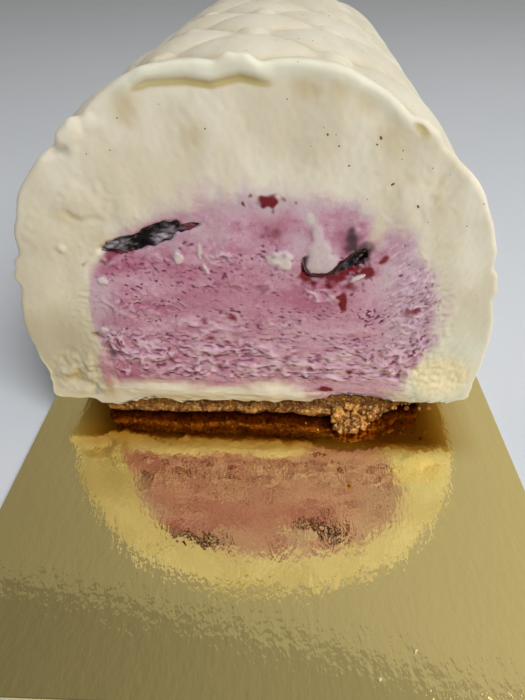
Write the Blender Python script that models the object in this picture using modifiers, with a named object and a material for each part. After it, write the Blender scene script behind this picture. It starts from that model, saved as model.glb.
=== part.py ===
"""An ice cream log on its gold card, cut across to show the berry core.

Metres, +Z up. +Y runs from the cut face to the far end, and the origin is the centre of the
card's underside. Heights in the log are measured from the card's top.
"""

import math
import random

import bmesh
import bpy
from mathutils import Matrix, Vector, noise

MM = 0.001
GAP = 0.3 * MM  # between touching solids
SEED = 11

# Gold card
CARD_WIDTH = 100 * MM
CARD_LENGTH = 208 * MM
CARD_THICKNESS = 1.5 * MM
CARD_EDGE = 0.25 * MM  # pressed edge radius

# Quilted pillows of the mould: staggered diamonds, laid out on a grid of equal steps
PILLOW_LENGTH = 30 * MM
PILLOW_DEPTH = 2.0 * MM
STUD_HEIGHT = 1.5 * MM  # of the small stud where four pillows meet
PILLOW_COLUMNS = 12  # half-diamonds from foot to foot over the top
STEPS_PER_COLUMN = 4
STEPS_PER_LENGTH = 8

# Vanilla ice cream round the core
LOG_X = -3.0 * MM
CARD_IN_FRONT = 58 * MM  # card left bare where slices were cut off
LOG_STEPS = 37
LOG_WIDTH = 91.5 * MM
LOG_FOOT_WIDTH = 88 * MM
LOG_SPRING = 25 * MM  # height where the arch starts and the log is widest
LOG_TOP = 73.5 * MM
LOG_POWER = 2.1  # 2 is an ellipse, more is squarer
LOG_LEAN = -0.03  # sideways travel per height
LOG_SKEW = 0.03  # sideways travel per length: the log lies a little askew on its card
LOG_FAR_RIM = 3.5 * MM  # how far the far end's rim is rounded in
LIP_BAND = 2.2 * MM
LIP_HEIGHT = 1.1 * MM
LIP_SPAN = 27 * MM  # to each side of the top

# Biscuit under the log. X here and below is measured from the log's middle
BISCUIT_X = 3.0 * MM
BISCUIT_LAYERS = 4
BISCUIT_WIDTH = 73 * MM
BISCUIT_LEFT_THICKNESS = 5.0 * MM
BISCUIT_RIGHT_THICKNESS = 6.6 * MM
BISCUIT_SETBACK = 3.2 * MM
BISCUIT_ROUGHNESS = 0.9 * MM
BISCUIT_ROUGH_SIZE = 5 * MM
BISCUIT_POINTS = 100
BISCUIT_CORNER = 7 * MM
CHUNK_X = 22.3 * MM  # broken biscuit at the cut
CHUNK_WIDTH = 11 * MM
CHUNK_START = 1 * MM  # inside the slab's rim
CHUNK_REACH = 5.2 * MM  # from there to the front lump's middle
CHUNK_COUNT = 22
LUMP_RADII = (1.3 * MM, 2.1 * MM)

# Berry ice cream core
CORE_X = 1.5 * MM
CORE_WIDTH = 67.4 * MM
CORE_FOOT_WIDTH = 61 * MM
CORE_FOOT = 8.9 * MM
CORE_SPRING = 23 * MM
CORE_TOP = 52.7 * MM
CORE_POWER = 2.45
CORE_FAR_WALL = 10 * MM  # vanilla beyond the core's far end
CORE_ARCH_STEPS = 36
CORE_LENGTH_STEPS = 5

# Two cherries that the cut shows: middle, half sizes, tilt, depth behind the cut and hollow
LEFT_CHERRY = {
    "x": -18.9 * MM, "z": 43.3 * MM, "half": Vector((8.9, 6.5, 2.9)) * MM,
    "tilt": 16, "sunk": 0.8 * MM, "hollow": 0.7 * MM,
}
RIGHT_CHERRY = {
    "x": 13.9 * MM, "z": 41.2 * MM, "half": Vector((6.6, 6.2, 4.6)) * MM,
    "tilt": 22, "sunk": 1.0 * MM, "hollow": 2.4 * MM,
}
CHERRY_WALL = 0.3  # of the skin's band and of the hollow's slope, as a share of the half height

# Worked out from the sizes above
CARD_TOP = CARD_THICKNESS
FACE_Y = -CARD_LENGTH / 2 + CARD_IN_FRONT
LOG_STEP = PILLOW_LENGTH / STEPS_PER_LENGTH
LOG_END = FACE_Y + LOG_STEPS * LOG_STEP
ARCH_STEPS = PILLOW_COLUMNS * STEPS_PER_COLUMN


def clear_scene():
    for old in list(bpy.data.objects):
        bpy.data.objects.remove(old, do_unlink=True)


def new_collection(name):
    collection = bpy.data.collections.new(name)
    bpy.context.scene.collection.children.link(collection)
    return collection


def finish_material(name, colour, roughness, metallic=0.0):
    material = bpy.data.materials.new(name)
    material.use_nodes = True
    shader = material.node_tree.nodes["Principled BSDF"]
    shader.inputs["Base Color"].default_value = (*colour, 1)
    shader.inputs["Roughness"].default_value = roughness
    shader.inputs["Metallic"].default_value = metallic
    material.diffuse_color = (*colour, 1)
    return material


def on_card(x, y, z):
    """A point of the log, from its middle and its underside, to its place on the card."""
    return Vector((LOG_X + x + LOG_SKEW * (y - FACE_Y), y, CARD_TOP + z))


def add_object(name, bm, collection, material=None):
    mesh = bpy.data.meshes.new(name)
    bmesh.ops.recalc_face_normals(bm, faces=bm.faces)
    bm.to_mesh(mesh)
    bm.free()
    if material:
        mesh.materials.append(material)
    piece = bpy.data.objects.new(name, mesh)
    collection.objects.link(piece)
    return piece


def add_cutter(name, bm, collection):
    cutter = add_object(name, bm, collection)
    cutter.hide_render = True
    cutter.display_type = "WIRE"
    return cutter


def cut(piece, cutter):
    modifier = piece.modifiers.new(cutter.name, "BOOLEAN")
    modifier.operation = "DIFFERENCE"
    modifier.object = cutter


def white_foot(x):
    """Height of the vanilla's flat underside, which follows the biscuit's slope."""
    across = x / BISCUIT_WIDTH + 0.5
    thickness = BISCUIT_LEFT_THICKNESS + across * (BISCUIT_RIGHT_THICKNESS - BISCUIT_LEFT_THICKNESS)
    return thickness + 2 * GAP


def arch(width, foot_width, spring, top, power, foot):
    """A fine line over an arch, from its right foot to its left one, about x = 0."""
    fine = 240
    points = []
    for i in range(fine + 1):
        angle = math.pi * i / fine
        across = math.copysign(abs(math.cos(angle)) ** (2 / power), math.cos(angle))
        up = math.sin(angle) ** (2 / power)
        points.append(Vector((width / 2 * across, spring + (top - spring) * up)))
    right_foot = Vector((foot_width / 2, foot(foot_width / 2)))
    left_foot = Vector((-foot_width / 2, foot(-foot_width / 2)))
    return [right_foot, *points, left_foot]


def even_steps(line, count):
    """The same line with count equal steps."""
    reach = [0.0]
    for a, b in zip(line, line[1:]):
        reach.append(reach[-1] + (b - a).length)
    points = []
    k = 0
    for i in range(count + 1):
        wanted = reach[-1] * i / count
        while k < len(line) - 2 and reach[k + 1] < wanted:
            k += 1
        part = (wanted - reach[k]) / (reach[k + 1] - reach[k])
        points.append(line[k].lerp(line[k + 1], part))
    return points


def close_below(points, steps):
    """Adds the points of the flat underside, from the last point back to the first."""
    under = [points[-1].lerp(points[0], i / steps) for i in range(1, steps)]
    return points + under


def bar(outline, stations):
    """A closed bar with the outline's X and Z at each station in Y.

    Returns the bmesh, and the outline and station numbers of each vertex.
    """
    count = len(outline)
    bm = bmesh.new()
    bmesh.ops.create_cone(bm, cap_ends=True, segments=count, radius1=1, radius2=1, depth=1)
    lengthwise = [e for e in bm.edges if abs(e.verts[0].co.z - e.verts[1].co.z) > 0.5]
    bmesh.ops.subdivide_edges(bm, edges=lengthwise, cuts=len(stations) - 2)
    place = {}
    for vert in bm.verts:
        k = round(math.atan2(vert.co.y, vert.co.x) / math.tau * count) % count
        j = round((vert.co.z + 0.5) * (len(stations) - 1))
        place[vert] = (k, j)
        vert.co = (outline[k].x, stations[j], outline[k].y)
    return bm, place


def pillow(k, j):
    """Depth of the mould's groove at a grid point, 0 on a pillow's crown and 1 in a groove."""
    across = (k - ARCH_STEPS / 2) / STEPS_PER_COLUMN
    along = j / STEPS_PER_LENGTH * 2
    u = abs(math.sin(math.pi * (across + along) / 2))
    v = abs(math.sin(math.pi * (across - along) / 2))
    at_stud = u < 0.01 and v < 0.01
    return 1 - STUD_HEIGHT / PILLOW_DEPTH if at_stud else 1 - (u * v) ** 0.5


def make_card(collection):
    """The card: greyboard under gold foil, with square corners."""
    bm = bmesh.new()
    bmesh.ops.create_cube(bm, size=1)
    bmesh.ops.scale(bm, vec=(CARD_WIDTH, CARD_LENGTH, CARD_THICKNESS), verts=bm.verts)
    bmesh.ops.translate(bm, vec=(0, 0, CARD_THICKNESS / 2), verts=bm.verts)
    foil = finish_material("gold_foil", (0.55, 0.43, 0.17), roughness=0.25, metallic=1.0)
    card = add_object("gold_card", bm, collection, foil)
    edge = card.modifiers.new("pressed_edge", "BEVEL")
    edge.width = CARD_EDGE
    edge.segments = 2


def rounded_rectangle(width, length, corner, count):
    """Points at equal steps round a rectangle with round corners, about the origin."""
    line = []
    for x_side, y_side, start in ((1, 1, 0), (-1, 1, 90), (-1, -1, 180), (1, -1, 270)):
        middle = Vector((x_side * (width / 2 - corner), y_side * (length / 2 - corner)))
        for turn in range(0, 91, 15):
            angle = math.radians(start + turn)
            line.append(middle + corner * Vector((math.cos(angle), math.sin(angle))))
    line.append(line[0])
    return even_steps(line, count)[:-1]


def make_biscuit(collection, lumps):
    """The crumbly base: a slab with a rough rim, and the chunk that the knife broke off."""
    length = LOG_END - FACE_Y - 2 * BISCUIT_SETBACK
    middle_y = (FACE_Y + LOG_END) / 2
    outline = rounded_rectangle(BISCUIT_WIDTH, length, BISCUIT_CORNER, BISCUIT_POINTS)
    bm = bmesh.new()
    bmesh.ops.create_cone(bm, cap_ends=True, segments=BISCUIT_POINTS, radius1=1, radius2=1, depth=1)
    uprights = [e for e in bm.edges if abs(e.verts[0].co.z - e.verts[1].co.z) > 0.5]
    bmesh.ops.subdivide_edges(bm, edges=uprights, cuts=BISCUIT_LAYERS - 1)
    for vert in bm.verts:
        k = round(math.atan2(vert.co.y, vert.co.x) / math.tau * BISCUIT_POINTS) % BISCUIT_POINTS
        level = vert.co.z + 0.5
        point = outline[k]
        outward = point.normalized()
        up = level * BISCUIT_RIGHT_THICKNESS
        rough = noise.noise(Vector((point.x, point.y, up)) / BISCUIT_ROUGH_SIZE)
        point = point + outward * BISCUIT_ROUGHNESS * (rough - 0.6)
        x = BISCUIT_X + point.x
        thickness = white_foot(x) - 2 * GAP
        vert.co = on_card(x, middle_y + point.y, GAP + level * thickness)
    crumb = finish_material("biscuit", (0.33, 0.17, 0.06), roughness=0.85)
    biscuit = add_object("biscuit_base", bm, collection, crumb)

    draw = random.Random(SEED)
    for number in range(CHUNK_COUNT):
        radius = draw.uniform(*LUMP_RADII)
        bm = bmesh.new()
        bmesh.ops.create_icosphere(bm, subdivisions=1, radius=radius)
        for vert in bm.verts:
            vert.co *= draw.uniform(0.85, 1.1)
        spin = Matrix.Rotation(draw.uniform(0, math.tau), 3, "Z")
        bmesh.ops.rotate(bm, matrix=spin, verts=bm.verts)
        out = number / (CHUNK_COUNT - 1)
        x = CHUNK_X + CHUNK_WIDTH / 2 * draw.uniform(-1, 1) * (1 - 0.4 * out)
        y = FACE_Y + BISCUIT_SETBACK + CHUNK_START - CHUNK_REACH * out
        highest = white_foot(x) - 2 * GAP - radius * 1.1
        lowest = GAP + radius * 1.1
        z = lowest + max(0, highest - lowest) * draw.random() * (1 - out)
        bmesh.ops.translate(bm, vec=on_card(x, y, z), verts=bm.verts)
        add_object(f"lump_{number}", bm, lumps)
    fuse(biscuit, lumps)


def fuse(piece, lumps):
    """One Boolean union with all of a collection's objects, applied, and the objects removed."""
    modifier = piece.modifiers.new("fuse", "BOOLEAN")
    modifier.operation = "UNION"
    modifier.operand_type = "COLLECTION"
    modifier.collection = lumps
    evaluated = piece.evaluated_get(bpy.context.evaluated_depsgraph_get())
    joined = bpy.data.meshes.new_from_object(evaluated)
    piece.modifiers.clear()
    piece.data = joined
    for lump in list(lumps.objects):
        bpy.data.objects.remove(lump, do_unlink=True)
    bpy.data.collections.remove(lumps)


def make_vanilla(collection, core_cutter, cherry_cutter):
    """The moulded ice cream, with pillows outside and a pocket for the core at the cut."""
    line = arch(LOG_WIDTH, LOG_FOOT_WIDTH, LOG_SPRING, LOG_TOP, LOG_POWER, white_foot)
    outline = close_below(even_steps(line, ARCH_STEPS), steps=4)
    stations = [FACE_Y + j * LOG_STEP for j in range(LOG_STEPS + 1)]
    bm, place = bar(outline, stations)
    axis = Vector((0, LOG_SPRING))
    for vert, (k, j) in place.items():
        point = Vector((vert.co.x, vert.co.z))
        if k <= ARCH_STEPS:
            foot_fade = min(1.0, min(k, ARCH_STEPS - k) / 2)
            inward = PILLOW_DEPTH * pillow(k, j) * foot_fade
            if j == LOG_STEPS:
                inward += LOG_FAR_RIM
            point += (axis - point).normalized() * inward
        lean = LOG_LEAN * (point.y - LOG_SPRING)
        vert.co = on_card(point.x + lean, vert.co.y, point.y)
    crease_grooves(bm, place)
    add_lip(bm)
    cream = finish_material("vanilla", (0.72, 0.64, 0.47), roughness=0.5)
    vanilla = add_object("vanilla_ice_cream", bm, collection, cream)
    cut(vanilla, cherry_cutter)
    cut(vanilla, core_cutter)


def crease_grooves(bm, place):
    """Splits each quad of the pillows along its deeper diagonal, so that grooves stay sharp."""
    for face in [f for f in bm.faces if len(f.verts) == 4]:
        a, b, c, d = face.verts
        depth = {vert: pillow(*place[vert]) for vert in (a, b, c, d)}
        if depth[a] + depth[c] > depth[b] + depth[d]:
            bmesh.utils.face_split(face, a, c)
        else:
            bmesh.utils.face_split(face, b, d)


def inset_towards(bm, cap, centre, share):
    """Adds a ring of faces inside a cap, its points moved by a share of the way to the centre."""
    bmesh.ops.inset_region(bm, faces=[cap], thickness=LIP_BAND)
    inner = set(cap.verts)
    for vert in inner:
        neighbours = [edge.other_vert(vert) for edge in vert.link_edges]
        partner = next(other for other in neighbours if other not in inner)
        vert.co = partner.co.lerp(centre, share)


def add_lip(bm):
    """The ridge of melted ice cream that the knife left along the top of the cut face."""
    caps = [face for face in bm.faces if len(face.verts) > 4]
    front = min(caps, key=lambda face: face.calc_center_median().y)
    centre = on_card(0, FACE_Y, LOG_SPRING)
    share = LIP_BAND / (LOG_TOP - LOG_SPRING)
    inset_towards(bm, front, centre, share / 2)
    ridge = list(front.verts)
    inset_towards(bm, front, centre, share)
    for vert in ridge:
        across = (vert.co.x - LOG_X) / LIP_SPAN
        if vert.co.z > CARD_TOP + CORE_TOP and abs(across) < 1:
            vert.co.y -= LIP_HEIGHT * (1 - across ** 4)


def core_bar(grow, front):
    """The core's bar, grown all round, with its front end at a given Y."""
    def foot(x):
        return CORE_FOOT - grow

    line = arch(
        CORE_WIDTH + 2 * grow, CORE_FOOT_WIDTH + 2 * grow,
        CORE_SPRING, CORE_TOP + grow, CORE_POWER, foot,
    )
    outline = close_below(even_steps(line, CORE_ARCH_STEPS), steps=4)
    end = LOG_END - CORE_FAR_WALL + grow
    stations = [front + (end - front) * j / CORE_LENGTH_STEPS for j in range(CORE_LENGTH_STEPS + 1)]
    bm, _ = bar(outline, stations)
    for vert in bm.verts:
        vert.co = on_card(CORE_X + vert.co.x, vert.co.y, vert.co.z)
    return bm


def make_core(collection, cherry_cutters):
    """The berry ice cream, a bar that ends inside the vanilla."""
    bm = core_bar(grow=0, front=FACE_Y)
    berry = finish_material("berry", (0.46, 0.20, 0.32), roughness=0.6)
    core = add_object("berry_core", bm, collection, berry)
    for cutter in cherry_cutters:
        cut(core, cutter)


def cherry_ball(cherry, grow):
    """An ellipsoid at the cherry's place, grown all round."""
    bm = bmesh.new()
    bmesh.ops.create_uvsphere(bm, u_segments=24, v_segments=12, radius=1)
    bmesh.ops.scale(bm, vec=cherry["half"] + Vector((grow, grow, grow)), verts=bm.verts)
    tilt = Matrix.Rotation(math.radians(-cherry["tilt"]), 3, "Y")
    bmesh.ops.rotate(bm, matrix=tilt, verts=bm.verts)
    centre = on_card(cherry["x"], FACE_Y + cherry["sunk"], cherry["z"])
    bmesh.ops.translate(bm, vec=centre, verts=bm.verts)
    return bm


def make_cherry(name, cherry, collection, material):
    """A frozen cherry, sliced by the cut and hollowed where its flesh came away."""
    bm = cherry_ball(cherry, grow=0)
    everything = [*bm.verts, *bm.edges, *bm.faces]
    at_face = Vector((0, FACE_Y, 0))
    sliced = bmesh.ops.bisect_plane(
        bm, geom=everything, plane_co=at_face, plane_no=(0, -1, 0), clear_outer=True,
    )
    rim = [e for e in sliced["geom_cut"] if isinstance(e, bmesh.types.BMEdge)]
    flesh = bmesh.ops.contextual_create(bm, geom=rim)["faces"]
    wall = CHERRY_WALL * cherry["half"].z
    bmesh.ops.inset_region(bm, faces=flesh, thickness=wall)
    bmesh.ops.inset_region(bm, faces=flesh, thickness=wall)
    for vert in flesh[0].verts:
        vert.co.y += cherry["hollow"]
    add_object(name, bm, collection, material)


def main():
    clear_scene()
    pieces = new_collection("ice_cream_log")
    cutters = new_collection("cutters")
    lumps = new_collection("lumps")
    core_cutter = add_cutter("core_cutter", core_bar(grow=GAP, front=FACE_Y - 10 * MM), cutters)
    left_cutter = add_cutter("left_cherry_cutter", cherry_ball(LEFT_CHERRY, grow=GAP), cutters)
    right_cutter = add_cutter("right_cherry_cutter", cherry_ball(RIGHT_CHERRY, grow=GAP), cutters)
    make_card(pieces)
    make_biscuit(pieces, lumps)
    make_vanilla(pieces, core_cutter, left_cutter)
    make_core(pieces, (left_cutter, right_cutter))
    cherry_skin = finish_material("cherry_skin", (0.05, 0.01, 0.03), roughness=0.3)
    make_cherry("left_cherry", LEFT_CHERRY, pieces, cherry_skin)
    make_cherry("right_cherry", RIGHT_CHERRY, pieces, cherry_skin)


main()
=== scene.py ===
"""Looks of an ice cream log on its gold card: vanilla round a berry core, cut across by a knife.

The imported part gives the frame. Sizes here are in millimetres and turn to metres at the end. Places
on the cut face are x to the right of the log's middle and z above the card.
"""

import math
import random

import bmesh
import bpy
from mathutils import Matrix, Vector, noise


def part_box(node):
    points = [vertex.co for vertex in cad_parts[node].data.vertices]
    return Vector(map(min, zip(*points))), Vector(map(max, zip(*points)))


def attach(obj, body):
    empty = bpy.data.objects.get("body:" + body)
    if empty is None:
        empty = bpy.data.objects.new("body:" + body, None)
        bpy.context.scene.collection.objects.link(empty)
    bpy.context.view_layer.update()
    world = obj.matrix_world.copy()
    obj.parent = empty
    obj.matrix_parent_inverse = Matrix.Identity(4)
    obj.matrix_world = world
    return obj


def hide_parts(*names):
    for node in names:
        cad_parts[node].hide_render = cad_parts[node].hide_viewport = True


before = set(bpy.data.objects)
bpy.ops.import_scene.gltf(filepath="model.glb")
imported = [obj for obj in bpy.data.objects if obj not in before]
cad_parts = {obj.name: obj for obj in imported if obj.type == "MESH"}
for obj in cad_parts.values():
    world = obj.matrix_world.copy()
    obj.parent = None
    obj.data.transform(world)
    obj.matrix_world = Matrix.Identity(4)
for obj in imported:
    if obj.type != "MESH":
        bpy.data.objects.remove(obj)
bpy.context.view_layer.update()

MM = 0.001


# ---- Gold card ---------------------------------------------------------------------------------
# The cake card that the log is sold on: greyboard with gold-lacquered foil laminated on top and
# white paper below, die-cut to an oblong. Seen: a soft mirror, torn by the board's fine grain.

CARD_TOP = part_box("gold_card")[1].z / MM
FOIL_SKIN = 0.3  # how far down the card's edge the foil reaches
FOIL_BUMPS = (  # size in x, y and z, detail, and depth
    ((9, 22, 1), 1.0, 0.06),
    ((1.2, 2.5, 1), 2.5, 0.07),
    ((0.32, 0.7, 1), 1.0, 0.006),
)
BOW_MIDDLE = (38, -65, 0)  # the foil is shaded as if the card bowed down on all sides of this place
BOW_RADIUS = 1260
BOW_END = 20  # how far past that place the bow goes on towards the log
FOIL_SHADE_X = (45, 34)  # where the foil's painted shade starts and where it is full, to either side
FOIL_SHADE_Y = (-58, -50)  # the same towards the log


def srgb(code):
    """A colour written as sRGB hex, as linear red, green, blue and alpha."""
    channels = [int(code[i:i + 2], 16) / 255 for i in (1, 3, 5)]
    linear = [c / 12.92 if c <= 0.04045 else ((c + 0.055) / 1.055) ** 2.4 for c in channels]
    return (*linear, 1.0)


def per_mm(*sizes):
    """Scale of a pattern whose lumps are these millimetres across, in object space."""
    return tuple(1 / (size * MM) for size in sizes) if len(sizes) > 1 else 1 / (sizes[0] * MM)


def node(tree, kind, inputs={}, out=None, **settings):
    """Adds a shader node with its settings and inputs, by name or number, and returns an output."""
    added = tree.nodes.new("ShaderNode" + kind)
    for name, value in settings.items():
        setattr(added, name, value)
    for name, value in inputs.items():
        socket = next(s for i, s in enumerate(added.inputs) if s.enabled and name in (i, s.name))
        if isinstance(value, bpy.types.NodeSocket):
            tree.links.new(value, socket)
        else:
            socket.default_value = value
    return next((s for s in added.outputs if s.enabled and out in (None, s.name)), None)


def new_material(name):
    """An empty node material: the material, its tree, and the place in object space."""
    material = bpy.data.materials.new(name)
    material.use_nodes = True
    tree = material.node_tree
    tree.nodes.clear()
    return material, tree, node(tree, "TexCoord", out="Object")


def add_coats(tree, shows, looks, coats, ramp="SMOOTHSTEP"):
    """Lays coats of colour, in turn, over the grounds in looks.

    A coat is its ground, what shows it, where that starts, is full and how full (None for just as
    it is), and its colour or another ground, or two colours and the pattern that mottles them.
    """
    for ground, shown_by, steps, first, *mottled in coats:
        share = shows[shown_by]
        if steps:
            share = node(tree, "MapRange", {
                "Value": share, "From Min": steps[0], "From Max": steps[1], "To Max": steps[2],
            }, interpolation_type=ramp)
        coat = looks[first] if first in looks else srgb(first)
        if mottled:
            coat = node(tree, "Mix", {
                "Factor": shows[mottled[1]], "A": coat, "B": srgb(mottled[0]),
            }, data_type="RGBA")
        looks[ground] = node(tree, "Mix", {
            "Factor": share, "A": looks[ground], "B": coat,
        }, data_type="RGBA")


# Gold-lacquered aluminium foil rolled on to board: a yellow metal. Its bumps are the board's grain,
# drawn out along the rolling direction, which tears the edges of what the foil mirrors.
foil, tree, place = new_material("gold_foil_on_board")
side, length, height = (node(tree, "SeparateXYZ", {"Vector": place}, out=axis) for axis in "XYZ")
foil_edge = CARD_TOP - FOIL_SKIN
is_foil = node(tree, "MapRange", {
    "Value": height, "From Min": foil_edge * MM, "From Max": (foil_edge + FOIL_SKIN / 2) * MM,
})
fibres = node(tree, "TexNoise", {"Vector": place, "Scale": per_mm(0.5), "Detail": 3.0})
lacquer = node(tree, "TexNoise", {"Vector": place, "Scale": per_mm(26), "Detail": 4.0})
# Painted shade: the foil is darker and browner under the log and just in front of it, where the log shades
# the card
side = node(tree, "Math", {"Value": side}, operation="ABSOLUTE")
beside = node(tree, "MapRange", {
    "Value": side, "From Min": FOIL_SHADE_X[0] * MM, "From Max": FOIL_SHADE_X[1] * MM,
})
near_log = node(tree, "MapRange", {
    "Value": length, "From Min": FOIL_SHADE_Y[0] * MM, "From Max": FOIL_SHADE_Y[1] * MM,
}, interpolation_type="SMOOTHSTEP")
greasy = node(tree, "Math", {0: beside, 1: near_log}, operation="MULTIPLY")
shows = {"fibres": fibres, "lacquer": lacquer, "greasy": greasy, "is_foil": is_foil}
looks = {"board": srgb("#a8a294"), "gold": srgb("#f7e39b")}
add_coats(tree, shows, looks, (
    ("gold", "lacquer", None, "#efdb94"),
    # painted shade under and just in front of the log
    ("gold", "greasy", None, "#c99a40"),
    ("board", "fibres", None, "#d9d5c8"),
    ("board", "is_foil", None, "gold"),
))
off_middle = node(tree, "VectorMath", {0: place, 1: Vector(BOW_MIDDLE) * MM}, operation="SUBTRACT")
off_middle = node(tree, "VectorMath", {0: off_middle, 1: (1, BOW_END * MM, 0)}, operation="MINIMUM")
bow = node(tree, "VectorMath", {0: off_middle, 1: off_middle}, out="Value", operation="DOT_PRODUCT")
relief = node(tree, "Bump", {"Height": bow, "Distance": 0.5 / (BOW_RADIUS * MM)}, invert=True)
for sizes, detail, depth in FOIL_BUMPS:
    bumps = node(tree, "Mapping", {"Vector": place, "Scale": per_mm(*sizes)})
    bumps = node(tree, "TexNoise", {"Vector": bumps, "Scale": 1.0, "Detail": detail})
    relief = node(tree, "Bump", {"Height": bumps, "Distance": depth * MM, "Normal": relief})
roughness = node(tree, "MapRange", {"Value": is_foil, "To Min": 0.85, "To Max": 0.04})
surface = node(tree, "BsdfPrincipled", {
    "Base Color": looks["board"], "Metallic": is_foil, "Roughness": roughness, "Normal": relief,
})
node(tree, "OutputMaterial", {"Surface": surface})
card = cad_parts["gold_card"]
card.data.materials.clear()
card.data.materials.append(foil)


# ---- Biscuit base ------------------------------------------------------------------------------
# A slab of crushed biscuit and butter, pressed flat and frozen under the ice cream. The knife left
# its front ragged, and broke out a chunk that crumbled on to the card.

FACE_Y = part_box("berry_core")[0].y / MM
LOG_X = -3.0  # of the log's middle at the cut face, from the card's middle
LOG_SKEW = 0.03  # how far that middle moves to the right for each millimetre along Y
LOG_END = FACE_Y + 138.75  # Y of its far end
BISCUIT_X = 3.0  # from the log's middle
BISCUIT_WIDTH = 73.0
BISCUIT_THICKNESS = (5.0, 6.6)  # left and right
BISCUIT_SETBACK = (1.7, 3.2)  # from the cut face and from the far end
BISCUIT_CORNER = 3.0
BISCUIT_LUMPS = ((5, 1.0, 0), ((1.7, 1.7, 1.0), 0.7, 3), (0.7, 0.4, 7))  # size, height and seed
BISCUIT_LOST = 4.5  # broken off the front on the right
BISCUIT_POINTS = 640
BISCUIT_LAYERS = 14
GAP = 0.3  # between pieces that lie on each other
CRUMB_LUMPS = ((1.1, 0.9, 0), (0.45, 0.45, 0))  # of a crumb, in its own radii
CHUNK_X = 22.5  # of the heap of crumbs where the chunk broke out
CHUNK_WIDTH = 10.5
CHUNK_REACH = 6.0
CHUNK_DRIFT = 2.2  # of the heap to the left as it spreads
LEDGE_HEIGHT = 2.6  # of the lowest crumbs that stick to the slab's front


def on_card(x, y, z):
    """A point of the log in millimetres, from its middle and the card's top, in metres."""
    return Vector((LOG_X + x + LOG_SKEW * (y - FACE_Y), y, CARD_TOP + z)) * MM


def foot_height(x):
    """Height of the vanilla's underside, which follows the biscuit's slope."""
    across = x / BISCUIT_WIDTH + 0.5
    return BISCUIT_THICKNESS[0] + across * (BISCUIT_THICKNESS[1] - BISCUIT_THICKNESS[0]) + 2 * GAP


def even_steps(line, count):
    """The same line with count equal steps."""
    reach = [0.0]
    for a, b in zip(line, line[1:]):
        reach.append(reach[-1] + (b - a).length)
    points = []
    k = 0
    for i in range(count + 1):
        wanted = reach[-1] * i / count
        while k < len(line) - 2 and reach[k + 1] < wanted:
            k += 1
        part = (wanted - reach[k]) / (reach[k + 1] - reach[k])
        points.append(line[k].lerp(line[k + 1], part))
    return points


def smooth(low, high, value):
    """A smooth step of a value, from 0 at low to 1 at high."""
    t = min(1.0, max(0.0, (value - low) / (high - low)))
    return t * t * (3 - 2 * t)


def wave(x, y, z, size, seed=0.0):
    """Noise from about -0.7 to 0.7 whose lumps are size millimetres across, or (x, y, z) sizes.

    Each seed gives another pattern.
    """
    sx, sy, sz = size if isinstance(size, tuple) else (size, size, size)
    return noise.noise(Vector((x / sx + seed, y / sy + seed * 1.7, z / sz - seed)))


def wave_sum(waves, x, y, z, seed=0):
    """The sum of waves that are given as size, height and seed."""
    return sum(height * wave(x, y, z, size, seed + own) for size, height, own in waves)


def add_tube(bm, columns, rows, place):
    """Adds a grid closed into a tube, its ends filled: place(vert, i, row) moves each vertex."""
    verts = bmesh.ops.create_grid(bm, x_segments=columns, y_segments=rows - 1, size=1)["verts"]
    for vert in verts:
        i = round((vert.co.x + 1) / 2 * columns) % columns
        row = round((vert.co.y + 1) / 2 * (rows - 1))
        vert.co = place(vert, i, row)
    bmesh.ops.remove_doubles(bm, verts=verts, dist=1e-7)
    bmesh.ops.holes_fill(bm, edges=bm.edges, sides=columns)


def new_object(name, bm, material):
    """The scene's object of a finished mesh, at the origin."""
    mesh = bpy.data.meshes.new(name)
    bm.to_mesh(mesh)
    bm.free()
    mesh.materials.append(material)
    made = bpy.data.objects.new(name, mesh)
    bpy.context.scene.collection.objects.link(made)
    return made


def finish_piece(name, bm, material, slot, *nodes):
    """Makes a smooth piece of a finished mesh, riding on the root body, in place of any CAD nodes."""
    bmesh.ops.recalc_face_normals(bm, faces=bm.faces)
    for face in bm.faces:
        face.smooth = True
    piece = new_object(name, bm, material)
    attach(piece, "root")
    if nodes:
        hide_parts(*nodes)


def rounded_rectangle(width, length, corner):
    """Points round a rectangle with round corners, about the origin."""
    line = []
    for x_side, y_side, start in ((1, 1, 0), (-1, 1, 90), (-1, -1, 180), (1, -1, 270)):
        middle = Vector((x_side * (width / 2 - corner), y_side * (length / 2 - corner)))
        for turn in range(0, 91, 10):
            angle = math.radians(start + turn)
            line.append(middle + corner * Vector((math.cos(angle), math.sin(angle))))
    line.append(line[0])
    return line


# Crushed biscuit bound with butter, frozen: matt golden-brown crumbs with painted shade in the hollows
# between them, and painted shade at the slab's foot, where it meets the card, and in its upper part, under
# the ice cream's overhang.
crumb, tree, place = new_material("butter_biscuit_crumb")
lumps, flour = (
    node(tree, "TexNoise", {
        "Vector": place, "Scale": per_mm(size), "Detail": detail, "Roughness": rough,
    })
    for size, detail, rough in ((2.4, 4.0, 0.65), (0.7, 3.0, 0.6))
)
soaked = node(tree, "Attribute", attribute_name="soaked", out="Fac")
looks = {"baked": srgb("#824a26")}
add_coats(tree, {"lumps": lumps, "flour": flour, "soaked": soaked}, looks, (
    ("baked", "lumps", (0.4, 0.62, 1), "#d8984c"),
    ("baked", "flour", (0.52, 0.66, 0.9), "#f2d078"),
    # painted shade in the hollows of the crumb, then at the slab's foot and under the overhang
    ("baked", "flour", (0.42, 0.32, 0.75), "#2e1306"),
    ("baked", "soaked", None, "#3a1a08"),
), "LINEAR")
relief = node(tree, "Bump", {"Height": lumps, "Distance": 0.5 * MM})
relief = node(tree, "Bump", {"Height": flour, "Distance": 0.3 * MM, "Normal": relief})
surface = node(tree, "BsdfPrincipled", {
    "Base Color": looks["baked"], "Roughness": 0.8, "IOR": 1.3, "Normal": relief,
})
node(tree, "OutputMaterial", {"Surface": surface})

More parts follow.
